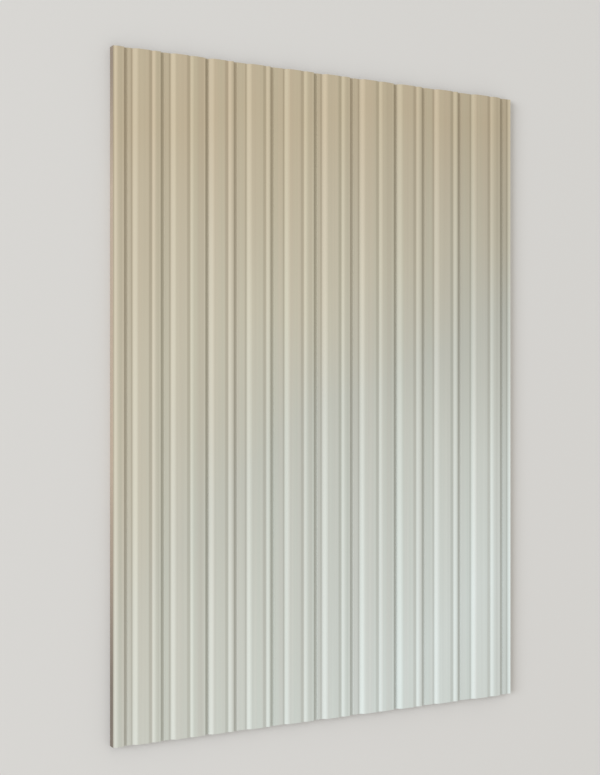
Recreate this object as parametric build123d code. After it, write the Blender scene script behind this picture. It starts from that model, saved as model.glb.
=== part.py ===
from build123d import *
import os
from itertools import cycle
from math import atan2, dist, radians, tan

# Fluted decorative laminate sheet, cut to a sample panel, lying flat with its decorative face up.
#
# One pressed piece: a flat back, a web and a face of ribs that run the whole length. Rounded valleys part
# the ribs. Plain ribs have level tops. Between them stand quirk ribs: their tops fall gently to a narrow
# level listel, drop into a quirk, which is a sunk line, and go on a step lower. A module is a rib with the
# valley on its right. Each module is drawn at the first one's size and is a little larger than the one on
# its left.
#
# Frame: X across the ribs, Y along them, Z up. The origin is the middle of the back face. Millimetres.

# Outline of the sheet
SHEET_WIDTH = 210.0
SHEET_LENGTH = 297.0
SHEET_THICKNESS = 4.0

# Modules, from one valley's lowest line to the next
FIRST_VALLEY = 0.5  # from the sheet's left edge
MODULE_WIDTH = 8.6  # of the first module, as are the sizes below
MODULE_RATIO = 1.014  # size of a module over the one on its left

# Valleys
VALLEY_DEPTH = 0.6  # below a plain rib's top
LOW_VALLEY_DEPTH = 0.3  # below the lower side of a quirk rib
FALL_ANGLE = 20.0  # the flank that drops to the right
RISE_ANGLE = 29.0  # the flank that climbs from a plain rib's valley
STEEP_RISE_ANGLE = 36.0  # the taller flank that climbs from a quirk rib's lower side

# Quirk ribs, every second rib
QUIRK_PLACES = (0.63, 0.55, 0.91, 0.38, 0.32)  # middle of the quirk, as a share of its module, in turn
QUIRK_WIDTH = 1.95
QUIRK_DRAFT = 0.2  # how far each side leans in
QUIRK_DEPTH = 1.05  # below the lip on its left
QUIRK_STEP = 0.75  # how far the top right of a quirk lies below that lip
CROWN_ANGLE = 8.0  # how steeply the top falls towards a quirk
CROWN_SHARE = 0.35  # level part of a crowned top
CROWN_ROOM = 2.5  # a top narrower than this stays level
LISTEL_WIDTH = 0.8

# Rounding of each kind of corner along the face
ROUNDING = {
    "shoulder": 1.8,
    "valley": 0.7,
    "crown": 7.0,
    "listel": 2.0,
    "lip": 0.2,
    "floor": 0.2,
    "rim": 0.25,
}
ROUNDING_SHARE = 0.45  # the most that a rounding takes of the shorter straight beside it

FALL_RUN = VALLEY_DEPTH / tan(radians(FALL_ANGLE))
LOW_FALL_RUN = LOW_VALLEY_DEPTH / tan(radians(FALL_ANGLE))


def plain_rib(rise):
    """Corners of a rib with a level top: place from the module's left, depth below the top, and kind."""
    return [
        (rise, 0, "shoulder"),
        (MODULE_WIDTH - FALL_RUN, 0, "shoulder"),
        (MODULE_WIDTH, VALLEY_DEPTH, "valley"),
    ]


def quirk_top(rise, lip):
    """Corners of a quirk rib's top: level, then falling to a listel where the top is wide enough."""
    run = lip - rise
    if run < CROWN_ROOM:
        return [(rise, 0, "shoulder"), (lip, 0, "lip")]
    crown = rise + CROWN_SHARE * run
    listel = lip - LISTEL_WIDTH
    fall = (listel - crown) * tan(radians(CROWN_ANGLE))
    return [(rise, 0, "shoulder"), (crown, 0, "crown"), (listel, fall, "listel"), (lip, fall, "lip")]


def quirk_rib(rise, place):
    """Corners of a rib with a quirk. One near the rib's right end takes the valley's place."""
    lip = place * MODULE_WIDTH - QUIRK_WIDTH / 2
    rim = place * MODULE_WIDTH + QUIRK_WIDTH / 2
    in_valley = rim > MODULE_WIDTH - LOW_FALL_RUN
    if in_valley:
        rim = MODULE_WIDTH
    corners = quirk_top(rise, lip)
    lip_depth = corners[-1][1]
    low_top = lip_depth + QUIRK_STEP
    corners += [
        (lip + QUIRK_DRAFT, lip_depth + QUIRK_DEPTH, "floor"),
        (rim - QUIRK_DRAFT, lip_depth + QUIRK_DEPTH, "floor"),
        (rim, low_top, "rim"),
    ]
    if not in_valley:
        corners += [
            (MODULE_WIDTH - LOW_FALL_RUN, low_top, "shoulder"),
            (MODULE_WIDTH, low_top + LOW_VALLEY_DEPTH, "valley"),
        ]
    return corners


def face_corners():
    """Corners of the face, from just left of the sheet to just right of it: place, height and radius."""
    left = FIRST_VALLEY - SHEET_WIDTH / 2
    corners = [
        (left - MODULE_WIDTH, SHEET_THICKNESS, 0),
        (left - FALL_RUN, SHEET_THICKNESS, ROUNDING["shoulder"]),
        (left, SHEET_THICKNESS - VALLEY_DEPTH, ROUNDING["valley"]),
    ]
    places = cycle(QUIRK_PLACES)
    with_quirk = True
    scale = 1.0
    while left < SHEET_WIDTH / 2:
        climb = (SHEET_THICKNESS - corners[-1][1]) / scale
        if with_quirk:
            rib = quirk_rib(climb / tan(radians(RISE_ANGLE)), next(places))
        else:
            rib = plain_rib(climb / tan(radians(STEEP_RISE_ANGLE)))
        for place, depth, kind in rib:
            corners.append((left + scale * place, SHEET_THICKNESS - scale * depth, scale * ROUNDING[kind]))
        left += scale * MODULE_WIDTH
        scale *= MODULE_RATIO
        with_quirk = not with_quirk
    return corners


def corner_radius(before, corner, after):
    """The radius asked of a corner, held to its share of the straights beside it."""
    slope_before = atan2(corner[1] - before[1], corner[0] - before[0])
    slope_after = atan2(after[1] - corner[1], after[0] - corner[0])
    turn = slope_after - slope_before
    room = ROUNDING_SHARE * min(dist(before[:2], corner[:2]), dist(corner[:2], after[:2]))
    return min(corner[2], room / tan(abs(turn) / 2))


def sheet_section():
    """The sheet's cross-section: the rounded face line, closed along the back and trimmed to the width."""
    corners = face_corners()
    radii = [corner_radius(*three) for three in zip(corners, corners[1:], corners[2:])]
    points = [corner[:2] for corner in corners]
    face_line = FilletPolyline(*points, radius=radii)
    back_line = Polyline(points[-1], (points[-1][0], 0), (points[0][0], 0), points[0])
    trim = Pos(0, SHEET_THICKNESS / 2) * Rectangle(SHEET_WIDTH, SHEET_THICKNESS)
    return make_face([face_line, back_line]) & trim


def laminate_sheet():
    """The section drawn out along the sheet's length."""
    return extrude(Plane.XZ * sheet_section(), SHEET_LENGTH / 2, both=True)


os.makedirs("parts", exist_ok=True)
sheet = laminate_sheet()
export_step(sheet, "parts/laminate_sheet.step")
print("corners", len(face_corners()), "volume", round(sheet.volume), "size", sheet.bounding_box().size)
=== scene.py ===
# %% [markdown]
# # A fluted laminate sample sheet
# The real object is one pressed sheet, 4 mm thick and cut to 210 by 297 mm. Ribs run down its face,
# every second rib has a narrow sunk line in it, and the colour drifts from warm beige at the head of
# the sheet to pale mint at its foot, partly its own tone and partly a painted reflection. This lesson
# loads the measured model as a fixed frame, dresses it with a finely rounded sheet of the same size,
# and then sets up the finishes, the light and the camera.

# %% Load the frame
import math
from itertools import cycle

import bmesh
import bpy
from mathutils import Matrix, Vector


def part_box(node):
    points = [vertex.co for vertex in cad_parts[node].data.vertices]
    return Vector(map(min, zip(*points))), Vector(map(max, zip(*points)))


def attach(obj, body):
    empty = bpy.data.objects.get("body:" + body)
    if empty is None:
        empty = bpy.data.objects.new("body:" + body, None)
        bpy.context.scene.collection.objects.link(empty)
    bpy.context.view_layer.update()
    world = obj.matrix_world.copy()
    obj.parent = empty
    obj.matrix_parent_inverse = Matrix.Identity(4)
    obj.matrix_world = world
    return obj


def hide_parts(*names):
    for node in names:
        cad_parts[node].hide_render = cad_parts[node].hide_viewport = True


MM = 0.001

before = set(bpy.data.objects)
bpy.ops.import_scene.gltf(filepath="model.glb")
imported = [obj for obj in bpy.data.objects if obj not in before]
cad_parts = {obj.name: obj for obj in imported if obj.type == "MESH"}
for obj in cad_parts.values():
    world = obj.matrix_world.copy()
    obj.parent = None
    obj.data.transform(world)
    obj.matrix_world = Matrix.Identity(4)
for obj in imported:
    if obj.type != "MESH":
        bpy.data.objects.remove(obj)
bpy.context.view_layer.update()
low, high = (Vector(corner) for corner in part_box("laminate_sheet"))
sheet_width, sheet_length, sheet_thickness = high - low
print("sheet", [round(side / MM, 2) for side in high - low], "mm")

# %% [markdown]
# ## The line of the face
# Seen from its end, the face is one line over the ribs: up from a valley to a shoulder, along the top,
# and down into the next valley. The line could be drawn as a curve, but a chain of corners is easier to
# reason about, because each corner has a name in the moulding trade and its own rounding. The corners
# stay sharp here, and a bevel rounds each kind later. A module is a rib with the valley on its right.
# The simplest is the plain rib, which has a level top.

# %% Plain ribs
module_width = 8.6 * MM
valley_depth = 0.6 * MM
fall_slope = math.tan(math.radians(20))  # of the flank that drops to the right
fall_run = valley_depth / fall_slope


def plain_rib(rise):
    """A rib with a level top: each corner's place from the left, its depth below the top and its kind."""
    return [
        (rise, 0, "steep rise"),
        (module_width - fall_run, 0, "fall"),
        (module_width, valley_depth, "valley"),
    ]


print("plain rib: the right flank is", round(fall_run / MM, 2), "mm of", round(module_width / MM, 2), "mm")

# %% [markdown]
# ## Ribs with a quirk
# Every second rib has a quirk, which is a sunk line. The rib's top is level at first, falls gently to a
# narrow level listel where there is room for one, and drops into the quirk. Right of the quirk the rib
# goes on a step lower and ends in a shallower valley. A quirk near the rib's right end leaves no room
# for that valley, so it takes the valley's place.

# %% Quirk ribs
low_valley_depth = 0.3 * MM  # below the lower side of the rib
low_fall_run = low_valley_depth / fall_slope
quirk_width = 1.95 * MM
quirk_draft = 0.2 * MM  # how far each side of the quirk leans in
quirk_depth = 1.05 * MM  # below the lip on its left
quirk_step = 0.75 * MM  # how far the rib's lower side lies below that lip
crown_slope = math.tan(math.radians(8))
crown_share = 0.35  # level part of a crowned top
crown_room = 2.5 * MM  # a top narrower than this stays level
listel_width = 0.8 * MM


def quirk_top(rise, lip):
    """The top left of a quirk: level, then falling to a listel where it is wide enough."""
    run = lip - rise
    if run < crown_room:
        return [(rise, 0, "rise"), (lip, 0, "lip")]
    crown = rise + crown_share * run
    listel = lip - listel_width
    drop = (listel - crown) * crown_slope
    return [(rise, 0, "rise"), (crown, 0, "crown"), (listel, drop, "listel"), (lip, drop, "lip")]


def quirk_rib(rise, place):
    """A rib with a quirk whose middle is at a share of the module."""
    lip = place * module_width - quirk_width / 2
    rim = place * module_width + quirk_width / 2
    in_valley = rim > module_width - low_fall_run
    if in_valley:
        rim = module_width
    corners = quirk_top(rise, lip)
    lip_depth = corners[-1][1]
    floor = lip_depth + quirk_depth
    low_top = lip_depth + quirk_step
    corners += [(lip + quirk_draft, floor, "floor"), (rim - quirk_draft, floor, "floor")]
    if in_valley:
        return corners + [(rim, low_top, "foot")]
    low_fall = (module_width - low_fall_run, low_top, "fall")
    low_valley = (module_width, low_top + low_valley_depth, "low valley")
    return corners + [(rim, low_top, "rim"), low_fall, low_valley]


print("quirk rib:", len(quirk_rib(MM, 0.7)), "corners where there is room for a listel")

# %% [markdown]
# ## The row of modules
# The ribs are not all alike. Each module is a little larger than the one on its left, and the quirks
# take five places in turn. So each module is drawn at the first one's size and enlarged as it is laid
# down, from left to right, until the chain has passed the right edge of the sheet.

# %% Lay the modules across the sheet
first_valley = 0.5 * MM  # from the sheet's left edge
module_ratio = 1.014  # size of a module over the one on its left
rise_slope = math.tan(math.radians(29))  # of the flank that climbs to a quirk rib
steep_slope = math.tan(math.radians(36))  # of the taller flank that climbs to a plain rib
quirk_places = cycle((0.63, 0.55, 0.91, 0.38, 0.32))

top = sheet_thickness
left = low.x + first_valley
scale = 1
with_quirk = True
face_line = [
    (left - module_width, top, "end", scale),
    (left - fall_run, top, "fall", scale),
    (left, top - valley_depth, "valley", scale),
]
while left < high.x:
    climb = (top - face_line[-1][1]) / scale
    if with_quirk:
        rib = quirk_rib(climb / rise_slope, next(quirk_places))
    else:
        rib = plain_rib(climb / steep_slope)
    for place, depth, kind in rib:
        face_line.append((left + scale * place, top - scale * depth, kind, scale))
    left += scale * module_width
    scale *= module_ratio
    with_quirk = not with_quirk
print(len(face_line), "corners, last module", round(scale / module_ratio, 3), "times the first")

# %% [markdown]
# ## Rounding the line
# A press plate has no knife edges, so every corner of the face is an arc. Bevelling the corners while
# they are still points on a flat line is quick and exact: a vertex bevel with a profile of 0.5 is a
# circular arc. Its width along the line is the radius times the tangent of half the turn, held to a
# share of the straights beside it so that two arcs never meet. The arcs grow with their modules too, so
# each corner gets its own.

# %% Draw the chain
points = [Vector((x, low.y, z)) for x, z, kind, scale in face_line]
bm = bmesh.new()
chain = [bm.verts.new(point) for point in points]
for one, two in zip(chain, chain[1:]):
    bm.edges.new((one, two))
print("chain:", len(bm.edges), "straights")

# %% Round each corner
rounding = {  # radius in millimetres, and the segments of its arc
    "rise": (1.8, 10),
    "steep rise": (1.8, 12),
    "fall": (1.8, 8),
    "valley": (0.7, 12),
    "low valley": (0.7, 12),
    "crown": (7.0, 6),
    "listel": (2.0, 3),
    "lip": (0.2, 5),
    "floor": (0.2, 5),
    "rim": (0.25, 6),
    "foot": (0.25, 6),
}
rounding_share = 0.45

arcs = []
for number in range(1, len(points) - 1):
    before, point, after = points[number - 1:number + 2]
    kind, scale = face_line[number][2:]
    radius, segments = rounding[kind]
    turn = (point - before).angle(after - point)
    room = rounding_share * min((point - before).length, (after - point).length)
    arc = min(scale * radius * MM * math.tan(turn / 2), room)
    arcs.append(arc)
    bmesh.ops.bevel(
        bm,
        geom=[chain[number]],
        offset=arc,
        offset_type="OFFSET",
        affect="VERTICES",
        segments=segments,
        profile=0.5,
        material=-1,
    )
print("rounded", len(arcs), "corners, arcs", round(min(arcs) / MM, 3), "to", round(max(arcs) / MM, 3), "mm")

# %% [markdown]
# ## From the line to the sheet
# The rounded line is trimmed at the sheet's two long sides with a cutting plane, as a saw would do it.
# Then it is pulled down to the flat back, which makes the end of the sheet, and that end is drawn out
# along the whole length. A cube with grooves cut into it would need repairs at every arc. This way
# everything comes out as clean strips of quads, with no big many-sided face at the ends.

# %% Trim the line
for side, outward in ((low.x, -1), (high.x, 1)):
    bmesh.ops.bisect_plane(
        bm,
        geom=[*bm.verts, *bm.edges],
        plane_co=(side, 0, 0),
        plane_no=(outward, 0, 0),
        clear_outer=True,
    )
print("trimmed line:", len(bm.verts), "points")

# %% Pull down and draw out
pulled = bmesh.ops.extrude_edge_only(bm, edges=bm.edges[:])
for item in pulled["geom"]:
    if isinstance(item, bmesh.types.BMVert):
        item.co.z = low.z
drawn = bmesh.ops.extrude_face_region(bm, geom=bm.faces[:], use_keep_orig=True)
far_end = [item for item in drawn["geom"] if isinstance(item, bmesh.types.BMVert)]
bmesh.ops.translate(bm, verts=far_end, vec=(0, sheet_length, 0))
bmesh.ops.recalc_face_normals(bm, faces=bm.faces)
open_edges = [edge for edge in bm.edges if len(edge.link_faces) != 2]
print("sheet:", len(bm.faces), "faces,", len(open_edges), "open edges")

# %% [markdown]
# ## Which face gets which finish
# A pressed sheet has its decorative skin only on the ribbed side. The four saw-cut edges show the body,
# and the back is plain and sanded for glue. Each face's place and direction say which of the three it
# is. Faces are shaded smooth round the arcs, and edges that turn sharply are marked sharp, so that the
# cut edges stay crisp.

# %% Sort the faces
SKIN, CUT_EDGE, BACK = range(3)
touching = 0.01 * MM
facing_down = -0.99
sharp_turn = math.radians(30)

for face in bm.faces:
    face.smooth = True
    middle = face.calc_center_median()
    at_side = min(abs(middle.x - low.x), abs(middle.x - high.x)) < touching
    at_end = min(abs(middle.y - low.y), abs(middle.y - high.y)) < touching
    if at_side or at_end:
        face.material_index = CUT_EDGE
    elif face.normal.z < facing_down:
        face.material_index = BACK
    else:
        face.material_index = SKIN
for edge in bm.edges:
    edge.smooth = edge.calc_face_angle() < sharp_turn
print("sharp edges:", sum(not edge.smooth for edge in bm.edges))

# %% Make the object
mesh = bpy.data.meshes.new("fluted_sheet")
bm.to_mesh(mesh)
bm.free()
sheet = bpy.data.objects.new("fluted_sheet", mesh)
bpy.context.collection.objects.link(sheet)
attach(sheet, "root")
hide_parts("laminate_sheet")
counts = [sum(face.material_index == finish for face in mesh.polygons) for finish in (SKIN, CUT_EDGE, BACK)]
print("faces of skin, cut edge and back:", counts)

# %% [markdown]
# ## One grain for three finishes
# All three surfaces have fine lines in one direction: the pressed skin along the ribs, the cut edge
# along its layers, the back along the sanding belt. Each could have its own texture, but one node group
# does for all: it stretches a noise by a scale for each axis and puts out a value between 0 and 1.

# %% The stretched grain group
grain = bpy.data.node_groups.new("stretched_grain", "ShaderNodeTree")
grain.interface.new_socket("Place", in_out="INPUT", socket_type="NodeSocketVector")
grain.interface.new_socket("Lines", in_out="INPUT", socket_type="NodeSocketVector")
grain.interface.new_socket("Detail", in_out="INPUT", socket_type="NodeSocketFloat")
grain.interface.new_socket("Value", in_out="OUTPUT", socket_type="NodeSocketFloat")


def add(tree, kind, **settings):
    """A new node with some of its settings made."""
    node = tree.nodes.new(kind)
    for name, value in settings.items():
        setattr(node, name, value)
    return node


grain_in = add(grain, "NodeGroupInput")
grain_out = add(grain, "NodeGroupOutput")
stretch = add(grain, "ShaderNodeVectorMath", operation="MULTIPLY")
lines = add(grain, "ShaderNodeTexNoise")
lines.inputs["Scale"].default_value = 1
spread = add(grain, "ShaderNodeMapRange")
spread.inputs["From Min"].default_value = 0.25
spread.inputs["From Max"].default_value = 0.75
grain.links.new(grain_in.outputs["Place"], stretch.inputs[0])
grain.links.new(grain_in.outputs["Lines"], stretch.inputs[1])
grain.links.new(grain_in.outputs["Detail"], lines.inputs["Detail"])
grain.links.new(stretch.outputs[0], lines.inputs["Vector"])
grain.links.new(lines.outputs[0], spread.inputs["Value"])
grain.links.new(spread.outputs[0], grain_out.inputs["Value"])
print("grain group:", len(grain.nodes), "nodes")

# %% [markdown]
# ## The colour of the skin
# The skin's colour drifts from beige at the head to mint at the foot, partly its own tone and partly a
# painted reflection. The drift leans: the mint climbs higher on the right, and more so towards the
# foot. It could be painted as an image, but a ramp on the object's own coordinates keeps its place on
# the sheet from every side, and its stops are easy to tune.
# A broad, weak noise bends the drift a little, so that no stop shows as a line.

# %% Helpers for colour
def srgb(red, green, blue):
    """A colour as a paint chart writes it, made linear for the shader."""
    parts = [value / 255 for value in (red, green, blue)]
    return (*[part / 12.92 if part < 0.04 else ((part + 0.055) / 1.055) ** 2.4 for part in parts], 1)


def new_finish(name):
    """A material with its tree, its shader and the object's coordinates at hand."""
    material = bpy.data.materials.new(name)
    material.use_nodes = True
    tree = material.node_tree
    return material, tree, tree.nodes["Principled BSDF"], add(tree, "ShaderNodeTexCoord").outputs["Object"]


def place_grain(tree, place, across, along, up, detail=3):
    """The grain group in a material, with so many lines to the metre on each axis."""
    node = add(tree, "ShaderNodeGroup", node_tree=grain)
    node.inputs["Lines"].default_value = (across, along, up)
    node.inputs["Detail"].default_value = detail
    tree.links.new(place, node.inputs["Place"])
    return node.outputs["Value"]


def sum_of(tree, value, factor, addend):
    """The value times a factor, plus another value or a number."""
    node = add(tree, "ShaderNodeMath", operation="MULTIPLY_ADD")
    tree.links.new(value, node.inputs[0])
    node.inputs[1].default_value = factor
    if isinstance(addend, (int, float)):
        node.inputs[2].default_value = addend
    else:
        tree.links.new(addend, node.inputs[2])
    return node.outputs[0]


def ramp_of(tree, value, stops):
    """A colour ramp with its stops given as place and colour."""
    node = add(tree, "ShaderNodeValToRGB")
    elements = node.color_ramp.elements
    for element, (place, colour) in zip(elements, (stops[0], stops[-1])):
        element.position = place
        element.color = colour
    for place, colour in stops[1:-1]:
        elements.new(place).color = colour
    tree.links.new(value, node.inputs[0])
    return node.outputs[0]


print("mid grey on a paint chart is", round(srgb(128, 128, 128)[0], 3), "in the shader")

# %% Drift from beige to mint
# The drift is partly the skin's own tone and partly a painted reflection, warm at the head and cool at the
# foot.
beige = srgb(196, 182, 155)
straw = srgb(202, 196, 177)
sage = srgb(200, 201, 191)
mint = srgb(215, 222, 219)
lean_at_head = 0.05
lean_at_foot = 0.73
drift_reach = 0.9
drift_start = -0.04
cloudiness = 0.08

skin, tree, shader, place = new_finish("laminate_skin")
axes = add(tree, "ShaderNodeSeparateXYZ")
tree.links.new(place, axes.inputs[0])
down = sum_of(tree, axes.outputs["Y"], -1 / sheet_length, 0.5)
lean = add(tree, "ShaderNodeMath", operation="MULTIPLY")
tree.links.new(axes.outputs["X"], lean.inputs[0])
lean_growth = (lean_at_foot - lean_at_head) / sheet_width
tree.links.new(sum_of(tree, down, lean_growth, lean_at_head / sheet_width), lean.inputs[1])
drift = sum_of(tree, down, drift_reach, sum_of(tree, lean.outputs[0], drift_reach, drift_start))
clouds = place_grain(tree, place, 14, 9, 0, detail=1)
drift = sum_of(tree, clouds, cloudiness, drift)
tone = ramp_of(tree, drift, [(0.05, beige), (0.3, straw), (0.46, sage), (0.97, mint)])
print("drift:", len(tree.nodes), "nodes")

# %% [markdown]
# ## Shade and tint of the skin
# A plain drift would still look printed. The sunk parts of the skin are darker, a painted shade in the
# hollows, and faint streaks run along the ribs. One broad patch, at the right of the head, is darker
# too, also a painted shade, one at the left of the foot is warmer, and weak bands of pink and green lie
# side by side. All of these only multiply the colour, so their order doesn't matter, and each can be
# turned down by itself.

# %% Painted shade in the sunk parts, and streaks
def multiplied(tree, colour, factor):
    """A colour multiplied by another colour or by a grey value."""
    node = add(tree, "ShaderNodeMix", data_type="RGBA", blend_type="MULTIPLY")
    node.inputs[0].default_value = 1
    tree.links.new(colour, node.inputs[6])
    tree.links.new(factor, node.inputs[7])
    return node.outputs[2]


def shaded(tree, colour, value, darkest):
    """A colour multiplied by a grey that goes from darkest, where the value is 0, to 1."""
    grey = add(tree, "ShaderNodeMapRange")
    grey.inputs["To Min"].default_value = darkest
    tree.links.new(value, grey.inputs["Value"])
    return multiplied(tree, colour, grey.outputs[0])


hollow_painted_shade = 0.88
streak_shade = 0.93

# Painted shade in the hollows: the skin darkens the deeper it lies below the rib tops, most on the floors
# of the quirks.
sunk = add(tree, "ShaderNodeMapRange")
sunk.inputs["From Min"].default_value = top - 1.5 * quirk_depth
sunk.inputs["From Max"].default_value = top - quirk_step
tree.links.new(axes.outputs["Z"], sunk.inputs["Value"])
tone = shaded(tree, tone, sunk.outputs[0], hollow_painted_shade)
streaks = place_grain(tree, place, 900, 5, 300)
tone = shaded(tree, tone, streaks, streak_shade)
print("drift with sunk parts and streaks:", len(tree.nodes), "nodes")

# %% Patches and bands
def from_patch(tree, place, middle, reach):
    """How far a point lies from the middle of a round patch: 0 there, and 1 at the patch's reach."""
    node = add(tree, "ShaderNodeVectorMath", operation="DISTANCE")
    node.inputs[1].default_value = middle
    tree.links.new(place, node.inputs[0])
    return sum_of(tree, node.outputs["Value"], 1 / reach, 0)


# A broad painted shade at the right of the head, darkest at its middle.
painted_shade_patch = (high.x, 0.28 * sheet_length, top)
painted_shade_reach = 115 * MM
painted_shade_darkest = 0.87
warm_patch = (low.x, -0.34 * sheet_length, top)
warm_reach = 90 * MM
warm = (1, 0.985, 0.957, 1)
not_warm = (0.957, 0.96, 0.957, 1)
pink = (1, 0.985, 0.975, 1)
green = (0.98, 1, 0.985, 1)

tone = shaded(tree, tone, from_patch(tree, place, painted_shade_patch, painted_shade_reach), painted_shade_darkest)
from_warm = from_patch(tree, place, warm_patch, warm_reach)
tone = multiplied(tree, tone, ramp_of(tree, from_warm, [(0.1, warm), (1.0, not_warm)]))
bands = place_grain(tree, place, 330, 2, 150, detail=2)
tone = multiplied(tree, tone, ramp_of(tree, bands, [(0.15, pink), (0.85, green)]))
tree.links.new(tone, shader.inputs["Base Color"])
print("drift with shade and tint:", len(tree.nodes), "nodes")

# %% [markdown]
# ## Satin
# Laminate of this kind is satin, neither matt nor glossy. The beige end is a little more matt than the
# mint end, and the streaks change the sheen as well as the colour, as they do on a pressed skin. Their
# relief is only a few thousandths of a millimetre, far too fine for geometry, so a bump node makes it.

# %% Sheen and fine relief
def bump_of(tree, shader, height, depth):
    """Fine relief of a given depth in metres, on the shader's normal."""
    node = add(tree, "ShaderNodeBump")
    node.inputs["Distance"].default_value = depth
    tree.links.new(height, node.inputs["Height"])
    tree.links.new(node.outputs[0], shader.inputs["Normal"])


matt_at_head = 0.66
satin_gain = -0.18
streak_sheen = 0.08
streak_depth = 0.004 * MM

satin = sum_of(tree, drift, satin_gain, matt_at_head)
tree.links.new(sum_of(tree, streaks, streak_sheen, satin), shader.inputs["Roughness"])
bump_of(tree, shader, streaks, streak_depth)
mesh.materials.append(skin)
print("skin:", len(tree.nodes), "nodes")

# %% [markdown]
# ## The cut edge
# The edge shows the body of the sheet, laid down in thin layers, with the saw's fine marks across them.
# It is tan in the middle of its length, and darker and browner towards the ends, a painted shade. A
# plain colour would look like putty, so the grain group draws the layers and the marks.

# %% Cut edge
def roughness_of(tree, shader, value, smooth, rough):
    """Roughness that varies between two limits."""
    node = add(tree, "ShaderNodeMapRange")
    node.inputs["To Min"].default_value = smooth
    node.inputs["To Max"].default_value = rough
    tree.links.new(value, node.inputs["Value"])
    tree.links.new(node.outputs[0], shader.inputs["Roughness"])


brown = srgb(142, 127, 111)
tan = srgb(179, 162, 142)
umber = srgb(117, 107, 95)
layer_shade = 0.85
saw_shade = 0.93
saw_depth = 0.02 * MM

cut_edge, tree, shader, place = new_finish("laminate_cut_edge")
axes = add(tree, "ShaderNodeSeparateXYZ")
tree.links.new(place, axes.inputs[0])
down = sum_of(tree, axes.outputs["Y"], -1 / sheet_length, 0.5)
# Painted shade: the edge darkens towards both ends of the sheet.
tone = ramp_of(tree, down, [(0.02, brown), (0.2, tan), (0.6, tan), (0.92, umber)])
layers = place_grain(tree, place, 30, 30, 5000, detail=2)
tone = shaded(tree, tone, layers, layer_shade)
saw_marks = place_grain(tree, place, 2500, 2500, 60, detail=2)
tone = shaded(tree, tone, saw_marks, saw_shade)
tree.links.new(tone, shader.inputs["Base Color"])
roughness_of(tree, shader, saw_marks, 0.6, 0.8)
bump_of(tree, shader, saw_marks, saw_depth)
mesh.materials.append(cut_edge)
print("cut edge:", len(tree.nodes), "nodes")

# %% [markdown]
# ## The back
# The back is the same body sanded flat, so that glue holds on it. It is a little paler and rougher than
# the edge, mottled where the sander took more or less off, with fine scratches along the belt.

# %% Back
deep_sand = srgb(166, 149, 128)
pale_sand = srgb(186, 170, 149)
scratch_shade = 0.92
scratch_depth = 0.02 * MM

back, tree, shader, place = new_finish("laminate_back")
mottle = place_grain(tree, place, 60, 40, 0, detail=4)
tone = ramp_of(tree, mottle, [(0.0, deep_sand), (1.0, pale_sand)])
scratches = place_grain(tree, place, 2200, 25, 0)
tone = shaded(tree, tone, scratches, scratch_shade)
tree.links.new(tone, shader.inputs["Base Color"])
roughness_of(tree, shader, scratches, 0.7, 0.9)
bump_of(tree, shader, scratches, scratch_depth)
mesh.materials.append(back)
print("back:", len(tree.nodes), "nodes")

# %% [markdown]
# ## The studio
# The sheet lies on a plain pale floor, a wide disc, so that no corner shows on the horizon. It lies a
# hair below the back of the sheet, because two surfaces in the same place would flicker. The light that
# shows ribs best comes from the side, low enough for each flank to have its own brightness: a large
# softbox on the left, with the air around filling the shadows. The softbox is a shade cool and the air
# a shade warm, as daylight is in a room, so flanks that face the light look fresher than the sunk
# lines, and a level surface still shows its colour as it is written.

# %% Floor
floor_radius = 12
floor_gap = 0.05 * MM

bm = bmesh.new()
bmesh.ops.create_circle(bm, cap_ends=True, segments=128, radius=floor_radius)
floor_mesh = bpy.data.meshes.new("studio_floor")
bm.to_mesh(floor_mesh)
bm.free()
floor = bpy.data.objects.new("studio_floor", floor_mesh)
floor.location.z = low.z - floor_gap
bpy.context.collection.objects.link(floor)
paint = bpy.data.materials.new("studio_floor_paint")
paint.use_nodes = True
shader = paint.node_tree.nodes["Principled BSDF"]
shader.inputs["Base Color"].default_value = srgb(215, 214, 211)
shader.inputs["Roughness"].default_value = 0.9
floor_mesh.materials.append(paint)
print("floor", 2 * floor_radius, "m across")

# %% Light
world = bpy.data.worlds.new("studio_air")
world.use_nodes = True
air = world.node_tree.nodes["Background"]
air.inputs["Color"].default_value = (1, 0.97, 0.925, 1)
air.inputs["Strength"].default_value = 0.715
bpy.context.scene.world = world

softbox = bpy.data.lights.new("softbox", "AREA")
softbox.size = 2.5
softbox.energy = 188
softbox.color = (0.875, 0.92, 1)
lamp = bpy.data.objects.new("softbox", softbox)
lamp.location = (-4.55, 0.54, 2.34)
lamp.rotation_euler = lamp.location.to_track_quat("Z", "Y").to_euler()
bpy.context.collection.objects.link(lamp)
print("softbox", round(lamp.location.length, 2), "m away")

# %% [markdown]
# ## The camera
# The picture looks down on the sheet from its left, so the left edge is nearer and taller than the
# right one. The camera is level with the sheet's middle line: its up direction runs along the ribs, and
# a small shift lowers the picture instead of a tilt, so the ribs stay upright. Its direction could be
# set with a constraint, but three axes written out show exactly where it looks.

# %% Camera
lens = bpy.data.cameras.new("camera")
lens.lens = 60.53
lens.shift_y = 0.0117
view_turn = math.radians(28.59)  # away from looking straight down
beside = 0.29915  # to the left of the sheet's middle
above = 0.52096  # over the sheet's face

right = Vector((math.cos(view_turn), 0, math.sin(view_turn)))
up = Vector((0, 1, 0))
backwards = Vector((-math.sin(view_turn), 0, math.cos(view_turn)))
turned = Matrix((right, up, backwards)).transposed().to_4x4()
camera = bpy.data.objects.new("camera", lens)
camera.matrix_world = Matrix.Translation((-beside, 0, sheet_thickness + above)) @ turned
bpy.context.collection.objects.link(camera)
bpy.context.scene.camera = camera
bpy.context.scene.view_settings.view_transform = "Standard"
print("camera", [round(value, 3) for value in camera.matrix_world.translation])
